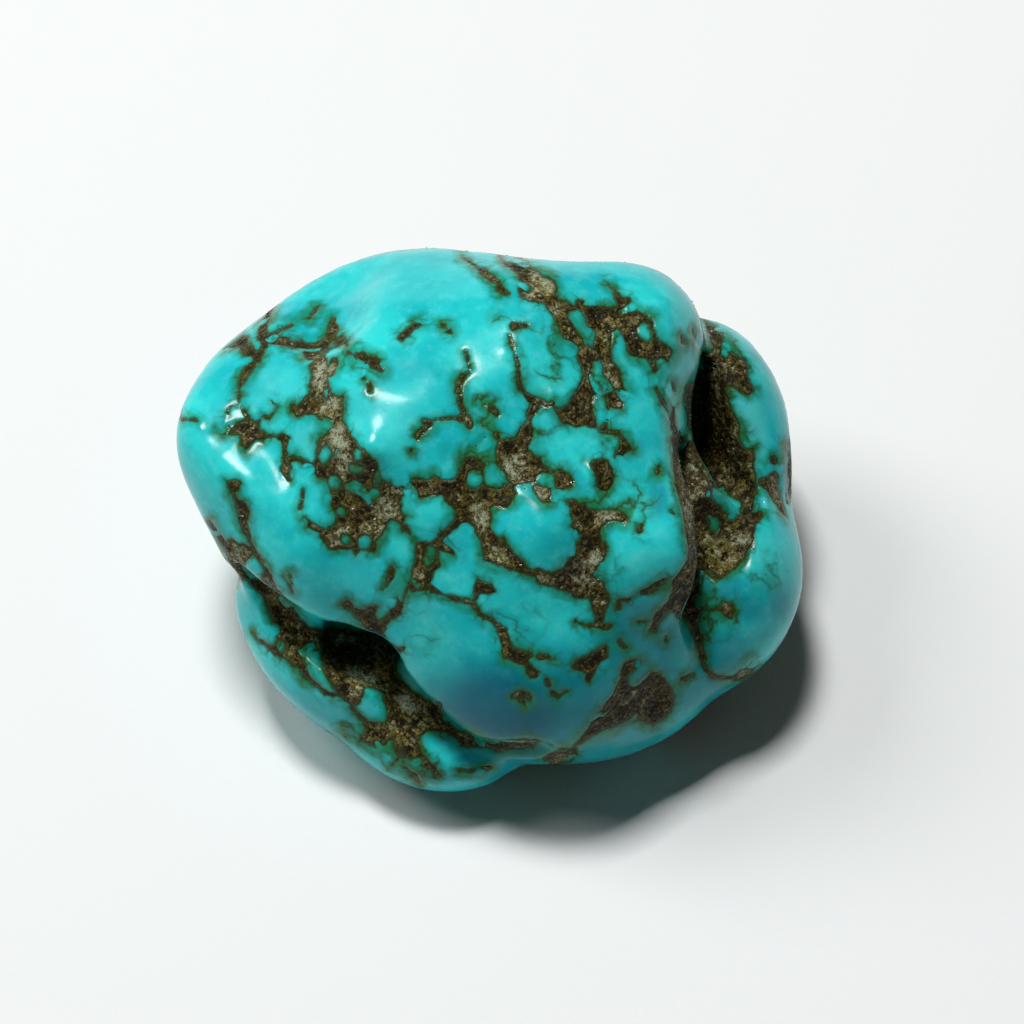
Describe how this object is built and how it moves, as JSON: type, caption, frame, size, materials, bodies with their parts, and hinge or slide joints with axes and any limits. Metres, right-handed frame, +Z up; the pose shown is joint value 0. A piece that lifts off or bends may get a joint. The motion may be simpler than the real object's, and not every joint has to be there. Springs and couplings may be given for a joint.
{
  "type": "raw turquoise nugget",
  "caption": "Tumbled turquoise nugget with rounded lobes, a web of dark matrix, a deep cleft in one side and a pit in the other; rests on a small flat foot.",
  "frame": {"origin": "centre of the bounding box's base, on the surface that the stone rests on", "axes": "+X along the stone's length, +Z up; the show face, with the web of matrix, looks up and towards -Y, 60 degrees above the level"},
  "size_m": [0.0314, 0.0256, 0.0212],
  "materials": {
    "turquoise": "tumbled, waxy polish over sky-blue turquoise with rough dark brown matrix"
  },
  "bodies": {
    "root": {"turquoise_nugget": "turquoise"}
  },
  "joints": []
}
